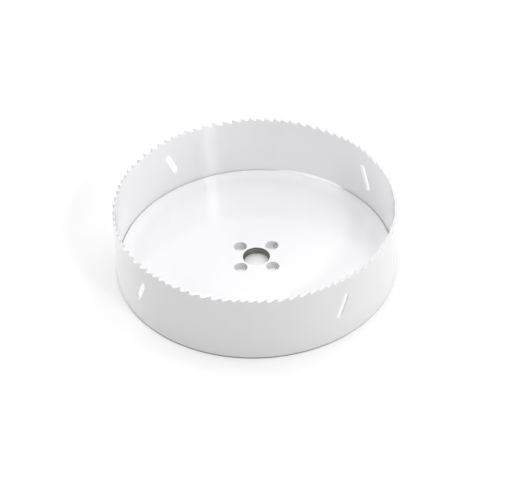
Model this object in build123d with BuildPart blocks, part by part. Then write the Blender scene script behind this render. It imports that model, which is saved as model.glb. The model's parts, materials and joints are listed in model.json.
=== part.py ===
"""Large bi-metal hole saw: a toothed steel band, rolled and butt-welded, round a thick backing plate.

Millimetres. The saw's axis is +Z. The plate's back face lies on the XY plane and the
teeth point up. Seen from the teeth, the saw turns anticlockwise when it cuts.
"""

from build123d import *
from itertools import accumulate
from math import atan2, cos, degrees, pi, radians, sin, tan
import os

# Band: spring steel strip with a high-speed steel tooth edge
outer_diameter = 168.0
band_thickness = 1.4
overall_height = 45.5  # back face to tooth tips
band_foot_chamfer = 0.3  # outer edge of the band's foot
butt_weld_angle = 81.0  # where the strip's ends meet, in degrees round the axis

# Teeth: variable pitch, raker set (straight, out, in). The strip is cut to length wherever
# that falls in its pattern, so the pattern starts at the butt weld and breaks off there.
tooth_count = 93
pattern_teeth = 9  # teeth from one widest pitch to the next
pattern_start = 2.5  # teeth from the last widest pitch to the weld
pitch_swing = 0.16  # widest pitch over the mean pitch, less one
rake_angle = 8.0  # hook of the cutting face, from the axis
relief_angle = 30.0  # slope of the tooth's back, from the rim
gullet_radius = 1.2
tooth_set = 0.35  # how far a tip stands out of the wall on its own side
set_share = 0.85  # bent height over the depth of the shallowest gullet

# Slots through the wall, for levering out the slug
slot_count = 4
slot_length = 17.4  # end to end
slot_width = 4.0
slot_lean = 23.0  # from the axis, top forwards in the direction of cut
slot_height = 24.5  # slot centre above the back face
slot_gap_at_weld = 3.0  # degrees more between the two slots beside the butt weld

# Backing plate, welded flush into the band's foot
plate_thickness = 5.0
plate_rim_chamfer = 0.5  # front edge of the plate, beside the wall
thread_major_diameter = 15.875  # 5/8 inch, 18 threads to the inch
thread_chamfer = 0.3
pin_hole_count = 4
pin_hole_diameter = 8.0
pin_circle_diameter = 27.0
pin_hole_angle = 45.0  # first pin hole, in degrees round the axis

# Worked out from the above
outer_radius = outer_diameter / 2
inner_radius = outer_radius - band_thickness
middle_radius = outer_radius - band_thickness / 2
cutter_overrun = band_thickness + 2 * tooth_set  # how far a cutter runs past what it cuts

# Gullet section: the face of a tooth and the back of the next meet at the root, and an arc rounds it
root_spread = 1 / tan(radians(relief_angle)) - tan(radians(rake_angle))
root_half_angle = radians(90 - rake_angle - relief_angle) / 2
root_centre_angle = radians(relief_angle) + root_half_angle
root_centre_reach = gullet_radius / sin(root_half_angle)

# Pitches follow a cosine along the strip, and together they close the ring
pattern_turns = [2 * pi * (tooth + pattern_start) / pattern_teeth for tooth in range(tooth_count)]
swells = [1 + pitch_swing * cos(turn) for turn in pattern_turns]
pitch_angles = [360 * swell / sum(swells) for swell in swells]
tip_angles = list(accumulate(pitch_angles, initial=butt_weld_angle))[:tooth_count]

# Slots are punched at even steps along the strip, and what is left over lies across the weld
slot_spacing = (360 - slot_gap_at_weld) / slot_count
first_slot_angle = butt_weld_angle + (slot_spacing + slot_gap_at_weld) / 2
slot_angles = [first_slot_angle + slot_spacing * slot for slot in range(slot_count)]


def pitch_after(tooth):
    """Distance from a tooth's tip to the next tip."""
    return middle_radius * sin(radians(pitch_angles[tooth]))


def root_depth(tooth):
    """Depth at which the face of a tooth and the back of the next one would meet."""
    return pitch_after(tooth) / root_spread


def gullet_depth(tooth):
    """Depth of the rounded gullet after a tooth."""
    return root_depth(tooth) - root_centre_reach * sin(root_centre_angle) + gullet_radius


def gullet_floor_angle(tooth):
    """Angle of the lowest point of the gullet after a tooth."""
    ahead = root_centre_reach * cos(root_centre_angle) - root_depth(tooth) * tan(radians(rake_angle))
    return tip_angles[tooth] + degrees(atan2(ahead, middle_radius))


def wall_plane(angle, height):
    """Plane along the middle of the wall: X forwards in the direction of cut, Y up, Z outwards."""
    out = Vector(1, 0, 0).rotate(Axis.Z, angle)
    return Plane(
        origin=out * middle_radius + Vector(0, 0, height),
        x_dir=out.rotate(Axis.Z, 90),
        z_dir=out,
    )


def section_plane(angle):
    """Plane through the axis: X outwards, Y up."""
    out = Vector(1, 0, 0).rotate(Axis.Z, angle)
    return Plane(origin=(0, 0, 0), x_dir=out, z_dir=out.rotate(Axis.Z, -90))


bent_height = set_share * min(gullet_depth(tooth) for tooth in range(tooth_count))
bend_line = overall_height - bent_height


def tooth_blank(tooth, lean):
    """Piece of rim from one gullet floor to the next, leaning out by lean at the tip."""
    start = gullet_floor_angle(tooth - 1)
    arc = (gullet_floor_angle(tooth) - start) % 360
    height = bent_height + cutter_overrun
    shift = lean * height / bent_height
    with BuildPart() as blank:
        with BuildSketch(section_plane(start)):
            with BuildLine():
                Polyline(
                    (inner_radius, bend_line),
                    (outer_radius, bend_line),
                    (outer_radius + shift, bend_line + height),
                    (inner_radius + shift, bend_line + height),
                    close=True,
                )
            make_face()
        revolve(axis=Axis.Z, revolution_arc=arc)
    return blank.part


def gullet_cutter(tooth):
    """Prism that cuts the face of a tooth, the gullet after it and the back of the next tooth."""
    depth = root_depth(tooth)
    with BuildPart() as gullet:
        with BuildSketch(wall_plane(tip_angles[tooth], overall_height)):
            with BuildLine():
                flanks = FilletPolyline(
                    (cutter_overrun * tan(radians(rake_angle)), cutter_overrun),
                    (-depth * tan(radians(rake_angle)), -depth),
                    (pitch_after(tooth) + cutter_overrun / tan(radians(relief_angle)), cutter_overrun),
                    radius=gullet_radius,
                )
                Line(flanks @ 1, flanks @ 0)
            make_face()
        extrude(amount=band_thickness / 2 + cutter_overrun, both=True)
    return gullet.part


leans = [0, tooth_set, -tooth_set]
blanks = [tooth_blank(tooth, leans[tooth % len(leans)]) for tooth in range(tooth_count)]
gullets = [gullet_cutter(tooth) for tooth in range(tooth_count)]

with BuildPart() as toothed_band:
    with BuildSketch(Plane.XZ):
        with BuildLine():
            Polyline(
                (inner_radius, 0),
                (outer_radius - band_foot_chamfer, 0),
                (outer_radius, band_foot_chamfer),
                (outer_radius, bend_line),
                (inner_radius, bend_line),
                close=True,
            )
        make_face()
    revolve(axis=Axis.Z)
    add(blanks)
    add(gullets, mode=Mode.SUBTRACT)
    with BuildSketch(*[wall_plane(angle, slot_height) for angle in slot_angles]):
        SlotOverall(slot_length, slot_width, rotation=90 - slot_lean)
    extrude(amount=band_thickness, both=True, mode=Mode.SUBTRACT)

with BuildPart() as backing_plate:
    Cylinder(inner_radius, plate_thickness, align=(Align.CENTER, Align.CENTER, Align.MIN))
    front_rim = backing_plate.edges().filter_by(GeomType.CIRCLE).sort_by(Axis.Z)[-1]
    chamfer(front_rim, plate_rim_chamfer)
    Hole(thread_major_diameter / 2)
    thread_mouths = backing_plate.edges(Select.LAST).filter_by(GeomType.CIRCLE)
    chamfer(thread_mouths, thread_chamfer)
    with PolarLocations(pin_circle_diameter / 2, pin_hole_count, start_angle=pin_hole_angle):
        Hole(pin_hole_diameter / 2)

os.makedirs("parts", exist_ok=True)
toothed_band.part.label = "toothed_band"
export_step(toothed_band.part, "parts/toothed_band.step")
backing_plate.part.label = "backing_plate"
export_step(backing_plate.part, "parts/backing_plate.step")
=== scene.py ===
import json
import math

import bmesh
import bpy
import numpy as np
from mathutils import Matrix, Vector


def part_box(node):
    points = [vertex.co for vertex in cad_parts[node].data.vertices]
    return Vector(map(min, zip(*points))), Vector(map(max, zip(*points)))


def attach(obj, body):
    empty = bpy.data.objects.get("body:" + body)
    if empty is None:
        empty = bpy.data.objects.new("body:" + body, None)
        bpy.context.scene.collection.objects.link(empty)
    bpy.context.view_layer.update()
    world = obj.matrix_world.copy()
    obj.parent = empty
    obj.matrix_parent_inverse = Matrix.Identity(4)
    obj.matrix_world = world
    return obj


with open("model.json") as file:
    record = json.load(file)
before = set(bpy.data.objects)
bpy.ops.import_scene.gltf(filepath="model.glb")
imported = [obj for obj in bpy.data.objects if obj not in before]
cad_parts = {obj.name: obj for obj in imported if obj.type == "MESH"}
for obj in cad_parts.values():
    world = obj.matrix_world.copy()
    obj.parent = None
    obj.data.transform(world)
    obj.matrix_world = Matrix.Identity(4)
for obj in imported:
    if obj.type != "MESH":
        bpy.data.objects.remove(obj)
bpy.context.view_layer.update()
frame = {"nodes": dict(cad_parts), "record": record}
print("frame loaded")

# Places on the saw, in metres, read from the frame where it gives them
mounts = {mount["name"]: mount["dims"] for mount in frame["record"]["mounts"]}
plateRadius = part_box("backing_plate")[1].x  # the plate fills the band: this is the wall's inner radius
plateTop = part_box("backing_plate")[1].z
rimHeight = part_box("toothed_band")[1].z
boreRadius = mounts["arbor_thread"]["r_mm"] / 1000  # to the root of the thread
pinCircle = mounts["drive_pins"]["pcd_mm"] / 2000  # from the axis to the middle of a pin hole
pinRadius = mounts["drive_pins"]["hole_r_mm"] / 1000
wallThickness = 0.0014
wallRadius = plateRadius + wallThickness
weldAngle = math.radians(81.0)  # where the strip's ends meet
gulletFloor = 0.0415  # clear of the lowest gullet
noiseMiddle = 0.5  # what a noise texture averages


# Makes a closed mesh object from a grid of points. Rows run along one parameter and columns round
# the section, whose last point joins its first. Ends that narrow to a point are merged there.
def gridPiece(name, points, closedRows=False):
    rows, columns = points.shape[:2]
    index = np.arange(rows * columns).reshape(rows, columns)
    low = index if closedRows else index[:-1]
    high = np.roll(index, -1, axis=0) if closedRows else index[1:]
    quads = np.stack((low, np.roll(low, -1, axis=1), np.roll(high, -1, axis=1), high), axis=-1)
    mesh = bpy.data.meshes.new(name)
    mesh.from_pydata(points.reshape(-1, 3), [], quads.reshape(-1, 4))
    work = bmesh.new()
    work.from_mesh(mesh)
    bmesh.ops.remove_doubles(work, verts=work.verts, dist=1e-7)
    bmesh.ops.recalc_face_normals(work, faces=work.faces)
    work.to_mesh(mesh)
    work.free()
    mesh.polygons.foreach_set("use_smooth", np.ones(len(mesh.polygons), bool))
    piece = bpy.data.objects.new(name, mesh)
    bpy.context.scene.collection.objects.link(piece)
    return piece


# Puts points given as distance from the axis, angle and height into the row frame
def fromAxis(radius, angle, height):
    return np.stack(np.broadcast_arrays(radius * np.cos(angle), radius * np.sin(angle), height), axis=-1)


# A new shader node group: its inputs are (name, kind, default) and its outputs (name, kind)
def nodeGroup(name, inputs, outputs):
    tree = bpy.data.node_groups.new(name, "ShaderNodeTree")
    for label, kind, value in inputs:
        socket = tree.interface.new_socket(label, in_out="INPUT", socket_type="NodeSocket" + kind)
        if value is not None:
            socket.default_value = value
    for label, kind in outputs:
        tree.interface.new_socket(label, in_out="OUTPUT", socket_type="NodeSocket" + kind)
    return tree, tree.nodes.new("NodeGroupInput").outputs, tree.nodes.new("NodeGroupOutput").inputs


# Sets a socket: another node's output is linked to it, and a plain value is written on it
def feed(tree, socket, value):
    if isinstance(value, bpy.types.NodeSocket):
        tree.links.new(value, socket)
    else:
        socket.default_value = value


# One step of arithmetic on links or plain values. With clamp, the result stays from 0 to 1.
def maths(tree, operation, *values, clamp=False):
    node = tree.nodes.new("ShaderNodeMath")
    node.operation = operation
    node.use_clamp = clamp
    for socket, value in zip(node.inputs, values):
        feed(tree, socket, value)
    return node.outputs[0]


# Maps a value from one span to another, with a smooth step between the ends
def remap(tree, value, fromLow, fromHigh, toLow, toHigh):
    node = tree.nodes.new("ShaderNodeMapRange")
    node.interpolation_type = "SMOOTHSTEP"
    for label, setting in (("Value", value), ("From Min", fromLow), ("From Max", fromHigh),
                           ("To Min", toLow), ("To Max", toHigh)):
        feed(tree, node.inputs[label], setting)
    return node.outputs["Result"]


# Soft random value, from 0 to 1, with about as many waves to the metre as its scale says
def noise(tree, vector, scale, detail=2.0):
    node = tree.nodes.new("ShaderNodeTexNoise")
    feed(tree, node.inputs["Vector"], vector)
    feed(tree, node.inputs["Scale"], scale)
    node.inputs["Detail"].default_value = detail
    return node.outputs["Fac"]


# Goes from the first colour to the second, or to the blend of both, as the share goes from 0 to 1
def mixColour(tree, share, first, second, blend="MIX"):
    node = tree.nodes.new("ShaderNodeMix")
    node.data_type = "RGBA"
    node.blend_type = blend
    feed(tree, node.inputs[0], share)
    feed(tree, node.inputs[6], first)
    feed(tree, node.inputs[7], second)
    return node.outputs[2]


# The x, y and z of a place
def split(tree, vector):
    node = tree.nodes.new("ShaderNodeSeparateXYZ")
    feed(tree, node.inputs[0], vector)
    return node.outputs


# Distance from an upright line, where x and y are counted from that line
def reach(tree, x, y):
    squares = maths(tree, "ADD", maths(tree, "MULTIPLY", x, x), maths(tree, "MULTIPLY", y, y))
    return maths(tree, "SQRT", squares)


# Places a node group, sets its inputs by name and gives its outputs
def useGroup(tree, group, values):
    node = tree.nodes.new("ShaderNodeGroup")
    node.node_tree = group
    for label, value in values.items():
        feed(tree, node.inputs[label], value)
    return node.outputs


# A plain material, with its Principled shader and its object coordinates
def newMaterial(name):
    material = bpy.data.materials.new(name)
    material.use_nodes = True
    tree = material.node_tree
    tree.nodes.clear()
    output = tree.nodes.new("ShaderNodeOutputMaterial")
    shader = tree.nodes.new("ShaderNodeBsdfPrincipled")
    tree.links.new(shader.outputs[0], output.inputs["Surface"])
    return material, tree, shader, tree.nodes.new("ShaderNodeTexCoord").outputs["Object"]


# Tilts the shader's normal as relief would whose depth, in metres, is the distance times the height
def bump(tree, shader, height, distance):
    node = tree.nodes.new("ShaderNodeBump")
    feed(tree, node.inputs["Height"], height)
    node.inputs["Distance"].default_value = distance
    tree.links.new(node.outputs[0], shader.inputs["Normal"])


enamelLook = {
    "broadScale": 14.0,  # waves of the colour's drift to the metre
    "fineScale": 260.0,
    "fineShare": 0.4,  # of the drift, the rest of it being broad
    "nibScale": 110.0,  # nibs to the metre
    "nibEdge": (0.02, 0.04),  # a nib fades out between these shares of the space between nibs
    "nibStrength": 0.06,
    "nibColour": (0.45, 0.44, 0.42, 1),
}


# Stoved enamel: a colour that drifts a little from place to place, with small darker nibs, and the
# soft dimples of sprayed paint as its height, from 0 to 1
def makeEnamelGroup():
    tree, given, result = nodeGroup(
        "stovedEnamel",
        [("Place", "Vector", None), ("Colour", "Color", (0.8, 0.8, 0.8, 1)), ("Drift", "Float", 0.05),
         ("Dimples", "Float", 600.0), ("Roughness", "Float", 0.3), ("Spread", "Float", 0.05)],
        [("Colour", "Color"), ("Roughness", "Float"), ("Height", "Float")])
    broad = noise(tree, given["Place"], enamelLook["broadScale"], detail=3.0)
    fine = noise(tree, given["Place"], enamelLook["fineScale"])
    blotch = maths(tree, "MULTIPLY_ADD", fine, enamelLook["fineShare"],
                   maths(tree, "MULTIPLY", broad, 1.0 - enamelLook["fineShare"]))
    tone = maths(tree, "MULTIPLY_ADD", maths(tree, "SUBTRACT", blotch, noiseMiddle), given["Drift"], 1.0)
    grey = tree.nodes.new("ShaderNodeCombineColor")
    for socket in grey.inputs:
        feed(tree, socket, tone)
    colour = mixColour(tree, 1.0, given["Colour"], grey.outputs[0], "MULTIPLY")
    cells = tree.nodes.new("ShaderNodeTexVoronoi")
    cells.inputs["Scale"].default_value = enamelLook["nibScale"]
    feed(tree, cells.inputs["Vector"], given["Place"])
    nib = remap(tree, cells.outputs["Distance"], *enamelLook["nibEdge"], 1.0, 0.0)
    nib = maths(tree, "MULTIPLY", nib, enamelLook["nibStrength"])
    feed(tree, result["Colour"], mixColour(tree, nib, colour, enamelLook["nibColour"]))
    uneven = maths(tree, "SUBTRACT", fine, noiseMiddle)
    roughness = maths(tree, "MULTIPLY_ADD", uneven, given["Spread"], given["Roughness"])
    feed(tree, result["Roughness"], roughness)
    feed(tree, result["Height"], noise(tree, given["Place"], given["Dimples"]))
    return tree


scuffLook = {
    "turn": (0.5, 0.3, 0.9),  # radians about x, y and z
    "stretch": (1.0, 0.03, 0.2),  # the smaller, the longer the strokes run that way
    "strokeEdge": 0.01,  # a stroke ends where the noise is this far from its middle
    "patchScale": 30.0,  # patches of strokes to the metre
    "patchEdge": (0.52, 0.66),  # noise where a patch begins and where it is full
}


# Marks left by handling: fine straight strokes where much stretched noise crosses its middle, in
# broad patches
def makeScuffGroup():
    tree, given, result = nodeGroup(
        "handlingScuffs",
        [("Place", "Vector", None), ("Strokes", "Float", 90.0), ("Amount", "Float", 0.5)],
        [("Mask", "Float")])
    turned = tree.nodes.new("ShaderNodeMapping")
    feed(tree, turned.inputs["Vector"], given["Place"])
    turned.inputs["Rotation"].default_value = scuffLook["turn"]
    turned.inputs["Scale"].default_value = scuffLook["stretch"]
    grain = noise(tree, turned.outputs[0], given["Strokes"], detail=0.0)
    fromMiddle = maths(tree, "ABSOLUTE", maths(tree, "SUBTRACT", grain, noiseMiddle))
    stroke = remap(tree, fromMiddle, 0.0, scuffLook["strokeEdge"], 1.0, 0.0)
    patch = noise(tree, given["Place"], scuffLook["patchScale"])
    patch = remap(tree, patch, *scuffLook["patchEdge"], 0.0, 1.0)
    strokes = maths(tree, "MULTIPLY", stroke, patch)
    feed(tree, result["Mask"], maths(tree, "MULTIPLY", strokes, given["Amount"]))
    return tree


enamelGroup = makeEnamelGroup()
scuffGroup = makeScuffGroup()
print("shared effects made")

bandPaint = {
    "inside": (0.84, 0.836, 0.85, 1),
    "outside": (0.765, 0.763, 0.774, 1),  # darker than the inside: painted shade on the outer face
    "sideFrom": (0.0005, 0.0009),  # the change from one to the other, in the thickness of the wall
    "enamel": {"Drift": 0.05, "Dimples": 520.0, "Roughness": 0.32, "Spread": 0.08},
    "dimpleDepth": 0.000004,
    "coatRoughness": 0.05,
    "scuffs": {"Strokes": 160.0, "Amount": 0.5},
    "scuffColour": 0.03,  # strokes hardly change the colour
    "scuffRoughness": 0.3,
    "footLine": 0.0011,  # bare ground edge of the foot, with painted contact shadow on it, this high
    "footSolid": 0.6,  # share of that height over which it is fully bare and in painted shade
    # colour of the bare steel and of the painted contact shadow along the foot
    "bareFootAndShade": (0.22, 0.22, 0.21, 1),
    "footShadeLeftRight": (0.95, 0.1),  # how dark the foot is at the left and at the right: painted shade, lighter on the right, where the light comes from
    "footFade": (0.02, 0.075),  # between these distances to the right of the axis
    "tipLine": 0.0016,  # paint is thinner this far down from the tips
    "tipWear": 0.16,  # how thin it is at the tips
    "tipScale": 900.0,  # thin spots to the metre
    "tipSpots": (0.35, 0.65),  # noise where a spot begins and where it is full
    "thinPaint": (0.56, 0.56, 0.57, 1),
}


# Enamel of the wall: darker on the outside as painted shade, worn thin in spots at the tips of the
# teeth, and ground bare along the foot, which is darkened there too as painted contact shadow that
# fades out to the right
def makeBandEnamel():
    material, tree, shader, place = newMaterial("bandEnamel")
    x, y, height = split(tree, place)
    depth = maths(tree, "SUBTRACT", reach(tree, x, y), plateRadius)
    # Painted shade: the outer face takes a darker copy of the same enamel
    outsideShade = remap(tree, depth, *bandPaint["sideFrom"], 0.0, 1.0)
    side = mixColour(tree, outsideShade, bandPaint["inside"], bandPaint["outside"])
    enamel = useGroup(tree, enamelGroup, {"Place": place, "Colour": side, **bandPaint["enamel"]})
    scuffs = useGroup(tree, scuffGroup, {"Place": place, **bandPaint["scuffs"]})["Mask"]
    tips = remap(tree, height, rimHeight - bandPaint["tipLine"], rimHeight, 0.0, bandPaint["tipWear"])
    spots = remap(tree, noise(tree, place, bandPaint["tipScale"]), *bandPaint["tipSpots"], 0.0, 1.0)
    tips = maths(tree, "MULTIPLY", tips, spots)
    # Painted contact shadow: the bare edge of the foot is darkened with it, less towards the right, where
    # the light comes from
    solid = bandPaint["footSolid"] * bandPaint["footLine"]
    foot = remap(tree, height, solid, bandPaint["footLine"], 1.0, 0.0)
    foot = maths(tree, "MULTIPLY", foot, remap(tree, x, *bandPaint["footFade"], *bandPaint["footShadeLeftRight"]))
    thin = maths(tree, "MULTIPLY_ADD", scuffs, bandPaint["scuffColour"], tips)
    colour = mixColour(tree, thin, enamel["Colour"], bandPaint["thinPaint"])
    roughness = maths(tree, "MULTIPLY_ADD", scuffs, bandPaint["scuffRoughness"], enamel["Roughness"])
    feed(tree, shader.inputs["Base Color"], mixColour(tree, foot, colour, bandPaint["bareFootAndShade"]))
    feed(tree, shader.inputs["Roughness"], roughness)
    feed(tree, shader.inputs["Coat Weight"], maths(tree, "SUBTRACT", 1.0, foot))
    shader.inputs["Coat Roughness"].default_value = bandPaint["coatRoughness"]
    bump(tree, shader, enamel["Height"], bandPaint["dimpleDepth"])
    return material


seamTack = {
    "from": 46.0,  # degrees round the axis
    "to": 82.0,
    "leg": 0.0014,
    "bulge": 0.014,  # how far the face of the bead swells, over its leg
    "sink": 0.0002,  # depth of its root in wall and plate
    "taper": 0.7,  # power of the sine that the legs follow from end to end
    "ripples": 44,
    "ripple": 0.02,  # how much a ripple adds to the legs, as a share of them
    "alongRipple": 6,  # rows of points to each ripple
    "across": 9,  # points across the face
}

platePaint = {
    "enamel": {"Colour": (0.83, 0.826, 0.84, 1), "Drift": 0.04, "Dimples": 420.0, "Roughness": 0.26,
               "Spread": 0.06},
    "dimpleDepth": 0.000003,
    "coatRoughness": 0.03,
    "scuffs": {"Strokes": 140.0, "Amount": 0.5},
    "scuffColour": 0.03,
    "thinPaint": (0.5, 0.5, 0.5, 1),
    "paintedLightFrom": (0.070, 0.081),  # painted light: lighter between these distances from the axis, by the wall, where shade falls
    "paintedLightColour": (0.95, 0.946, 0.96, 1),
    "latheRings": 900.0,  # turning marks under the paint, waves to the metre
    "ringHeight": 0.25,  # their height, as a share of that of the dimples
    "seamWidth": 0.00035,  # dark joint beside the wall
    "seamEdge": 1.6,  # its soft edge ends at this many widths
    "seamStrength": 0.9,
    "seamDark": (0.42, 0.42, 0.415, 1),
    "seamFade": 0.10,  # the joint fades out over this angle at the ends of the tack
    "mouthBare": 0.0001,  # the bevels at the bore's mouths are bare this far out too
    "holeRim": (0.00003, 0.0001),  # past the edge of a hole, paint begins and is whole at these distances
    "holeRoughness": 0.2,  # added in the holes
    "pinHole": (0.9, 0.9, 0.89, 1),  # overspray
    "pinSpeck": (0.2, 0.2, 0.19, 1),  # steel between its drops, gathered on the right of each hole as painted shade
    "speckScale": 1400.0,  # specks to the metre
    "speckEdge": (0.44, 0.60),  # noise where a speck begins and where it is full
    "speckShadeSide": (-0.003, 0.004, 0.05, 1.0),  # share of the specks, from the left of a hole to its right: more on the right as painted shade
    "boreSteel": (0.14, 0.14, 0.13, 1),
    "backFace": (0.00005, 0.0002),  # rubbed below the first of these heights, not above the second
    "flange": 0.019,  # an arbor's shoulder rubs the back face out to here
    "flangeFade": 0.002,
    "ringEdge": (0.4, 0.6),  # noise of the lathe's rings, from valley to crest
    "ringWear": (0.1, 0.6),  # how far each of them is rubbed
}


# Dark joint beside the wall: a narrow ring, left out over the angle that the tack takes
def makeJointMask(tree, x, y, radius):
    width = platePaint["seamWidth"]
    ring = remap(tree, radius, plateRadius - platePaint["seamEdge"] * width, plateRadius - width,
                 0.0, platePaint["seamStrength"])
    middle = math.radians(seamTack["from"] + seamTack["to"]) / 2
    half = math.radians(seamTack["to"] - seamTack["from"]) / 2
    fromTack = maths(tree, "ABSOLUTE", maths(tree, "SUBTRACT", maths(tree, "ARCTAN2", y, x), middle))
    bare = remap(tree, fromTack, half - platePaint["seamFade"], half + platePaint["seamFade"], 0.0, 1.0)
    return maths(tree, "MULTIPLY", ring, bare)


# What the arbor's shoulder has rubbed: a disc on the back face, more on the crests of the rings
def makeRubMask(tree, height, radius, rings):
    back = remap(tree, height, *platePaint["backFace"], 1.0, 0.0)
    edge = platePaint["flange"]
    disc = remap(tree, radius, edge - platePaint["flangeFade"], edge, 1.0, 0.0)
    crests = remap(tree, rings, *platePaint["ringEdge"], *platePaint["ringWear"])
    return maths(tree, "MULTIPLY", maths(tree, "MULTIPLY", back, disc), crests)


# Colour in the pin holes: overspray, with specks of steel where noise is high, and more of them to the
# right as painted shade on the side away from the light. Across is how far x is from the middle of its
# hole.
def makePinColour(tree, place, across):
    specks = remap(tree, noise(tree, place, platePaint["speckScale"]), *platePaint["speckEdge"], 0.0, 1.0)
    # Painted shade: more specks towards the right wall of each hole
    specks = maths(tree, "MULTIPLY", specks, remap(tree, across, *platePaint["speckShadeSide"]))
    return mixColour(tree, specks, platePaint["pinHole"], platePaint["pinSpeck"])


# Enamel of the plate: lighter towards the wall as painted light, dark in the joint, oversprayed in
# the pin holes with painted shade on their right, bare in the bore, rubbed by the arbor on the back,
# and over faint rings that the lathe left, which are noise read along the distance from the axis.
# Folding x and y puts all pin holes on one.
def makePlateEnamel():
    material, tree, shader, place = newMaterial("plateEnamel")
    enamel = useGroup(tree, enamelGroup, {"Place": place, **platePaint["enamel"]})
    scuffs = useGroup(tree, scuffGroup, {"Place": place, **platePaint["scuffs"]})["Mask"]
    x, y, height = split(tree, place)
    radius = reach(tree, x, y)
    rings = tree.nodes.new("ShaderNodeTexNoise")
    rings.noise_dimensions = "1D"
    feed(tree, rings.inputs["W"], radius)
    rings.inputs["Scale"].default_value = platePaint["latheRings"]
    joint = makeJointMask(tree, x, y, radius)
    rubbed = makeRubMask(tree, height, radius, rings.outputs["Fac"])
    pinPlace = pinCircle / math.sqrt(2)
    pinX = maths(tree, "SUBTRACT", maths(tree, "ABSOLUTE", x), pinPlace)
    pinY = maths(tree, "SUBTRACT", maths(tree, "ABSOLUTE", y), pinPlace)
    begins, whole = platePaint["holeRim"]
    pinWall = remap(tree, reach(tree, pinX, pinY), pinRadius + begins, pinRadius + whole, 1.0, 0.0)
    mouth = boreRadius + platePaint["mouthBare"]
    bore = remap(tree, radius, mouth + begins, mouth + whole, 1.0, 0.0)
    holes = maths(tree, "MAXIMUM", pinWall, bore)
    thin = maths(tree, "MULTIPLY_ADD", scuffs, platePaint["scuffColour"], rubbed)
    colour = mixColour(tree, thin, enamel["Colour"], platePaint["thinPaint"])
    # Painted light: a lighter ring by the wall, where shade falls, which the tack in the corner also takes
    paintedLight = remap(tree, radius, *platePaint["paintedLightFrom"], 0.0, 1.0)
    colour = mixColour(tree, paintedLight, colour, platePaint["paintedLightColour"])
    colour = mixColour(tree, joint, colour, platePaint["seamDark"])
    pinAcross = maths(tree, "MULTIPLY", maths(tree, "SIGN", x), pinX)
    colour = mixColour(tree, pinWall, colour, makePinColour(tree, place, pinAcross))
    feed(tree, shader.inputs["Base Color"], mixColour(tree, bore, colour, platePaint["boreSteel"]))
    roughness = maths(tree, "MULTIPLY_ADD", holes, platePaint["holeRoughness"], enamel["Roughness"])
    feed(tree, shader.inputs["Roughness"], roughness)
    feed(tree, shader.inputs["Metallic"], bore)
    gone = maths(tree, "MAXIMUM", holes, maths(tree, "MAXIMUM", joint, rubbed))
    feed(tree, shader.inputs["Coat Weight"], maths(tree, "SUBTRACT", 1.0, gone, clamp=True))
    shader.inputs["Coat Roughness"].default_value = platePaint["coatRoughness"]
    relief = maths(tree, "MULTIPLY_ADD", rings.outputs["Fac"], platePaint["ringHeight"], enamel["Height"])
    bump(tree, shader, relief, platePaint["dimpleDepth"])
    return material


threadMetal = {
    "bright": (0.18, 0.18, 0.17, 1),
    "oiled": (0.14, 0.14, 0.13, 1),
    "oilScale": 220.0,
    "oilEdge": (0.35, 0.65),  # noise where oil begins and where it covers
    "lineScale": 500.0,
    "lineStretch": (1.0, 1.0, 12.0),  # lines lie this much closer along the axis
    "lineDepth": 0.00001,
    "lineEdge": (0.3, 0.7),  # noise of the lines, from valley to crest
    "roughness": (0.4, 0.6),  # at each of them
}


# Bare cut steel: oil lies in patches, and the tap leaves fine lines round the hole, which are noise
# drawn together along the axis
def makeThreadSteel():
    material, tree, shader, place = newMaterial("threadSteel")
    stretch = tree.nodes.new("ShaderNodeMapping")
    feed(tree, stretch.inputs["Vector"], place)
    stretch.inputs["Scale"].default_value = threadMetal["lineStretch"]
    lines = noise(tree, stretch.outputs[0], threadMetal["lineScale"], detail=4.0)
    oil = noise(tree, place, threadMetal["oilScale"], detail=3.0)
    oil = remap(tree, oil, *threadMetal["oilEdge"], 0.0, 1.0)
    roughness = remap(tree, lines, *threadMetal["lineEdge"], *threadMetal["roughness"])
    colour = mixColour(tree, oil, threadMetal["bright"], threadMetal["oiled"])
    feed(tree, shader.inputs["Base Color"], colour)
    feed(tree, shader.inputs["Roughness"], roughness)
    shader.inputs["Metallic"].default_value = 1.0
    bump(tree, shader, lines, threadMetal["lineDepth"])
    return material


bandEnamel, plateEnamel, threadSteel = makeBandEnamel(), makePlateEnamel(), makeThreadSteel()
for node, material in (("toothed_band", bandEnamel), ("backing_plate", plateEnamel)):
    for slot in frame["nodes"][node].material_slots:
        slot.link = "OBJECT"
        slot.material = material
print("enamel and steel made")

thread = {
    "pitch": 0.0254 / 18,
    "depth": 0.00070,  # root to crest
    "flat": 0.125,  # share of the wave cut off at crest and root
    "inset": 0.0003,  # clear of the plate's faces
    "rise": 0.6,  # turns over which the ridge rises at each mouth
    "clear": 0.00002,  # how far the root stands inside the plain bore
    "back": 0.0004,  # how far the sleeve reaches into the plate's metal
    "around": 96,  # points round the hole
    "alongPitch": 12,  # points to each turn's height
}


# Sleeve with a helical ridge. At angle a and height z the ridge is at z / pitch - a / turn, and its
# height is a triangle wave of that with both points cut off. It fades out at both mouths.
# The outer side of the sleeve lies inside the plate's metal.
def makeThread():
    low, high = thread["inset"], plateTop - thread["inset"]
    steps = round((high - low) / thread["pitch"] * thread["alongPitch"])
    angle = np.linspace(0, 2 * np.pi, thread["around"], endpoint=False)
    height = np.linspace(low, high, steps + 1)
    wave = np.abs(2 * np.mod(height / thread["pitch"] - angle[:, None] / (2 * np.pi), 1) - 1)
    ridge = np.clip((wave - thread["flat"]) / (1 - 2 * thread["flat"]), 0, 1)
    ridge *= np.clip(np.minimum(height - low, high - height) / (thread["rise"] * thread["pitch"]), 0, 1)
    inner = boreRadius - thread["clear"] - thread["depth"] * ridge
    outer = np.full((thread["around"], 2), boreRadius + thread["back"])
    radius = np.concatenate([inner, outer], axis=1)
    points = fromAxis(radius, angle[:, None], np.append(height, (high, low)))
    piece = gridPiece("bore_thread", points, closedRows=True)
    piece.data.materials.append(threadSteel)
    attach(piece, "root")


makeThread()
print("thread cut")


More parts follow.
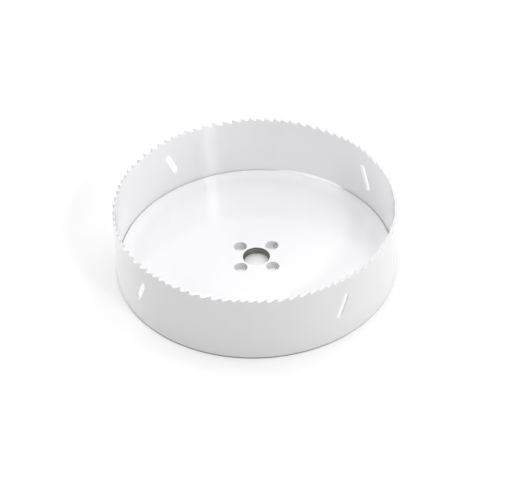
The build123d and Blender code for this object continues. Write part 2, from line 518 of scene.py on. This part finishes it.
# Run of weld in the corner of wall and plate, flooded with enamel. Its face is a line between two
# equal legs, swollen by a sine at right angles to it, which is split between the two. The legs
# follow a power of a sine along it and swell at each ripple.
def makeSeamTack():
    along = np.linspace(0, 1, seamTack["alongRipple"] * seamTack["ripples"] + 1)
    grown = np.sin(np.pi * along).clip(0) ** seamTack["taper"]
    wavers = 1 + seamTack["ripple"] * np.sin(2 * np.pi * seamTack["ripples"] * along)
    leg = seamTack["leg"] * grown * wavers
    across = np.linspace(0, 1, seamTack["across"])
    swell = seamTack["bulge"] * np.sin(np.pi * across) * math.sqrt(0.5)
    inward = np.append((1 - across) + swell, -seamTack["sink"] / seamTack["leg"])
    upward = np.append(across + swell, -seamTack["sink"] / seamTack["leg"])
    angle = np.radians(seamTack["from"] + (seamTack["to"] - seamTack["from"]) * along)
    points = fromAxis(plateRadius - leg[:, None] * inward, angle[:, None], plateTop + leg[:, None] * upward)
    piece = gridPiece("seam_tack", points)
    piece.data.materials.append(plateEnamel)
    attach(piece, "root")


buttWeld = {
    "width": 0.0011,
    "proud": 0.00006,
    "sink": 0.0003,
    "ripples": 60,
    "ripple": 0.3,  # how much a ripple adds to its height, as a share of it
    "ends": 12,  # the more, the shorter its ends
    "foot": 0.001,  # where it starts on the outside
    "along": 241,  # points up the wall
    "across": 9,  # points across the ridge
}


# Trace of the butt weld on one face of the wall, ground nearly flush: a low ridge straight up the
# wall, with a parabola for its section, whose height wavers as a sine and narrows at both ends
def makeButtWeld(name, face, side, low):
    along = np.linspace(0, 1, buttWeld["along"])
    grown = np.clip(np.sin(np.pi * along) * buttWeld["ends"], 0, 1) ** 0.5
    wavers = 1 + buttWeld["ripple"] * np.sin(2 * np.pi * buttWeld["ripples"] * along)
    proud = buttWeld["proud"] * grown * wavers
    across = np.linspace(-1, 1, buttWeld["across"])
    out = proud[:, None] * (1 - across ** 2)
    out = np.concatenate([out, np.full((len(along), 1), -buttWeld["sink"]) * grown[:, None]], axis=1)
    offset = np.append(across, 0.0) * grown[:, None] * buttWeld["width"] / 2
    height = low + (gulletFloor - low) * along
    points = fromAxis(face + side * out, weldAngle + offset / face, height[:, None])
    piece = gridPiece(name, points)
    piece.data.materials.append(bandEnamel)
    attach(piece, "root")


rimWeld = {
    "width": 0.0032,
    "proud": 0.0001,
    "sink": 0.0004,
    "inset": 0.0003,  # from the joint to the middle of the weld
    "ripples": 240,
    "ripple": 0.25,  # how much a ripple adds to its height, as a share of it
    "swells": 7,  # slower changes of its height
    "swell": 0.15,
    "around": 720,  # points round the plate
    "across": 9,  # points across the ring
}


# Weld that joins plate and band on the back face, ground nearly flush: a low ring whose section is
# a flat arch, one less a fourth power, with a height that wavers round it as two sines
def makeRimWeld():
    angle = np.linspace(0, 2 * np.pi, rimWeld["around"], endpoint=False)
    wavers = 1 + rimWeld["ripple"] * np.sin(rimWeld["ripples"] * angle)
    wavers += rimWeld["swell"] * np.sin(rimWeld["swells"] * angle)
    across = np.linspace(-1, 1, rimWeld["across"])
    drop = rimWeld["proud"] * wavers[:, None] * (1 - across ** 4)
    drop = np.concatenate([drop, np.full((len(angle), 1), -rimWeld["sink"])], axis=1)
    radius = plateRadius - rimWeld["inset"] + np.append(across, 0.0) * rimWeld["width"] / 2
    piece = gridPiece("rim_weld", fromAxis(radius, angle[:, None], -drop), closedRows=True)
    piece.data.materials.append(plateEnamel)
    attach(piece, "root")


makeSeamTack()
makeButtWeld("butt_weld_outside", wallRadius, 1, buttWeld["foot"])
makeButtWeld("butt_weld_inside", plateRadius, -1, plateTop)
makeRimWeld()
print("welds laid")


# 1 for the camera's rays and for those of gloss and glass, and 0 for those that light matt paint
def seenPlainly(tree, path):
    return maths(tree, "MAXIMUM", path["Is Camera Ray"],
                 maths(tree, "MAXIMUM", path["Is Glossy Ray"], path["Is Transmission Ray"]))


floorSheet = {
    "size": 3.0,
    "drop": 0.00015,  # below the ground weld
    "contact": 0.0006,  # a face nearer than this lies on the floor
    "colour": (0.70, 0.70, 0.70, 1),
    "grainColour": (0.6, 0.6, 0.6, 1),
    "grainScale": 40.0,
    "grainEdge": (0.3, 0.7),  # noise where the grain begins and where it is full
    "grain": 0.04,
    "roughness": 0.9,
    "specular": 0.2,
    # The white added for the camera and for gloss keeps the floor white between the lamps
    "glow": (0.14, 0.262),  # under the saw, and round it
    "glowFrom": (0.03, 0.06),  # between these distances from the axis
    "holeLight": (-0.004, 0.006, 0.16, 0.0),  # more of it in the near half of the centre hole, a painted pool of light there
    "shadeSide": (-0.11, -0.07, 0.065, 0.0),  # less of it left of the saw, to show the shadow there
}


# White paper with a faint grain. It glows a little for the camera and for gloss. From below it is
# clear, and so it is to a face that lies on it: the back then gets light and isn't black.
def makePaper():
    material, tree, shader, place = newMaterial("floorPaper")
    grain = remap(tree, noise(tree, place, floorSheet["grainScale"], detail=3.0), *floorSheet["grainEdge"],
                  0.0, floorSheet["grain"])
    feed(tree, shader.inputs["Base Color"],
         mixColour(tree, grain, floorSheet["colour"], floorSheet["grainColour"]))
    shader.inputs["Roughness"].default_value = floorSheet["roughness"]
    shader.inputs["Specular IOR Level"].default_value = floorSheet["specular"]
    x, y = split(tree, place)[:2]
    radius = reach(tree, x, y)
    white = maths(tree, "SUBTRACT", remap(tree, radius, *floorSheet["glowFrom"], *floorSheet["glow"]),
                  remap(tree, x, *floorSheet["shadeSide"]))
    white = maths(tree, "MULTIPLY_ADD", remap(tree, radius, *floorSheet["glowFrom"], 1.0, 0.0),
                  remap(tree, y, *floorSheet["holeLight"]), white)
    path = tree.nodes.new("ShaderNodeLightPath").outputs
    glow = tree.nodes.new("ShaderNodeEmission")
    feed(tree, glow.inputs["Strength"], maths(tree, "MULTIPLY", seenPlainly(tree, path), white))
    both = tree.nodes.new("ShaderNodeAddShader")
    feed(tree, both.inputs[0], shader.outputs[0])
    feed(tree, both.inputs[1], glow.outputs[0])
    near = maths(tree, "LESS_THAN", path["Ray Length"], floorSheet["contact"])
    lying = maths(tree, "MULTIPLY", path["Is Diffuse Ray"], near)
    below = tree.nodes.new("ShaderNodeNewGeometry").outputs["Backfacing"]
    sides = tree.nodes.new("ShaderNodeMixShader")
    feed(tree, sides.inputs[0], maths(tree, "MAXIMUM", below, lying))
    feed(tree, sides.inputs[1], both.outputs[0])
    feed(tree, sides.inputs[2], tree.nodes.new("ShaderNodeBsdfTransparent").outputs[0])
    feed(tree, tree.nodes["Material Output"].inputs["Surface"], sides.outputs[0])
    return material


# Square sheet, just below the saw
def makeFloor():
    half = floorSheet["size"] / 2
    corners = [(-half, -half), (half, -half), (half, half), (-half, half)]
    mesh = bpy.data.meshes.new("floor")
    mesh.from_pydata([(x, y, -floorSheet["drop"]) for x, y in corners], [], [(0, 1, 2, 3)])
    mesh.materials.append(makePaper())
    floor = bpy.data.objects.new("floor", mesh)
    bpy.context.scene.collection.objects.link(floor)


surround = {
    "seen": 1.0,  # strength for the camera and for gloss
    "light": 0.46,  # strength for what is matt
}


# White all round for the camera and for gloss, and a weaker light from all round for what is matt
def makeWorld():
    world = bpy.data.worlds.new("studioWorld")
    bpy.context.scene.world = world
    world.use_nodes = True
    tree = world.node_tree
    tree.nodes.clear()
    seen = seenPlainly(tree, tree.nodes.new("ShaderNodeLightPath").outputs)
    background = tree.nodes.new("ShaderNodeBackground")
    background.inputs["Color"].default_value = (1, 1, 1, 1)
    feed(tree, background.inputs["Strength"],
         maths(tree, "MULTIPLY_ADD", seen, surround["seen"] - surround["light"], surround["light"]))
    feed(tree, tree.nodes.new("ShaderNodeOutputWorld").inputs["Surface"], background.outputs[0])


# Azimuth is counted in degrees from +X, anticlockwise from above, and distance from the middle of
# the back face
panels = {
    "topPanel": {"azimuth": 0, "elevation": 90, "distance": 1.8, "size": (2.0, 2.0), "watts": 11.6},
    "highPanel": {"azimuth": 45, "elevation": 60, "distance": 1.8, "size": (1.0, 0.8), "watts": 3.3},
    "rightPanel": {"azimuth": 0, "elevation": 15, "distance": 1.8, "size": (1.0, 0.8), "watts": 9.9},
    "backPanel": {"azimuth": 135, "elevation": 15, "distance": 1.8, "size": (1.6, 1.0), "watts": 19.8},
    "behindPanel": {"azimuth": 90, "elevation": 38, "distance": 1.8, "size": (1.4, 0.9), "watts": 1.6},
    "windowStrip": {"azimuth": -53, "elevation": 41, "distance": 1.6, "size": (0.22, 0.16), "watts": 4.5},
    "longStrip": {"azimuth": -143, "elevation": 42, "distance": 1.6, "size": (1.0, 0.26), "watts": 2.0},
}


# Soft rectangular lamp that faces the middle of the back face from its azimuth and elevation
def makePanel(name, panel):
    azimuth, elevation = math.radians(panel["azimuth"]), math.radians(panel["elevation"])
    away = Vector((math.cos(azimuth) * math.cos(elevation), math.sin(azimuth) * math.cos(elevation),
                   math.sin(elevation)))
    light = bpy.data.lights.new(name, "AREA")
    light.shape = "RECTANGLE"
    light.size, light.size_y = panel["size"]
    light.energy = panel["watts"]
    lamp = bpy.data.objects.new(name, light)
    lamp.location = away * panel["distance"]
    lamp.rotation_mode = "QUATERNION"
    lamp.rotation_quaternion = away.to_track_quat("Z", "Y")
    lamp.visible_camera = False
    bpy.context.scene.collection.objects.link(lamp)


shot = {
    "distance": 1.4498,  # from the middle of the back face
    "elevation": 41.15,  # in degrees, as are the three turns
    "lens": 164.07,  # in millimetres, as is the sensor
    "sensor": 36.0,
    "yaw": -0.20,
    "pitch": 0.36,
    "roll": 1.86,
}


# Camera in front of the saw and above it, looking at the middle of the back face, then turned by
# three small angles
def makeCamera():
    elevation = math.radians(shot["elevation"])
    place = Vector((0, -math.cos(elevation), math.sin(elevation))) * shot["distance"]
    ahead = -place.normalized()
    right = Vector((1, 0, 0))
    up = right.cross(ahead)
    turn = Matrix.Rotation(math.radians(shot["yaw"]), 3, up)
    ahead, right = turn @ ahead, turn @ right
    turn = Matrix.Rotation(math.radians(shot["pitch"]), 3, right)
    ahead, up = turn @ ahead, turn @ up
    turn = Matrix.Rotation(math.radians(shot["roll"]), 3, ahead)
    right, up = turn @ right, turn @ up
    lens = bpy.data.cameras.new("camera")
    lens.sensor_width, lens.lens = shot["sensor"], shot["lens"]
    camera = bpy.data.objects.new("camera", lens)
    camera.matrix_world = Matrix.Translation(place) @ Matrix((right, up, -ahead)).transposed().to_4x4()
    bpy.context.scene.collection.objects.link(camera)
    bpy.context.scene.camera = camera


makeFloor()
makeWorld()
for name, panel in panels.items():
    makePanel(name, panel)
makeCamera()
bpy.context.scene.view_settings.view_transform = "Standard"
print("studio set")
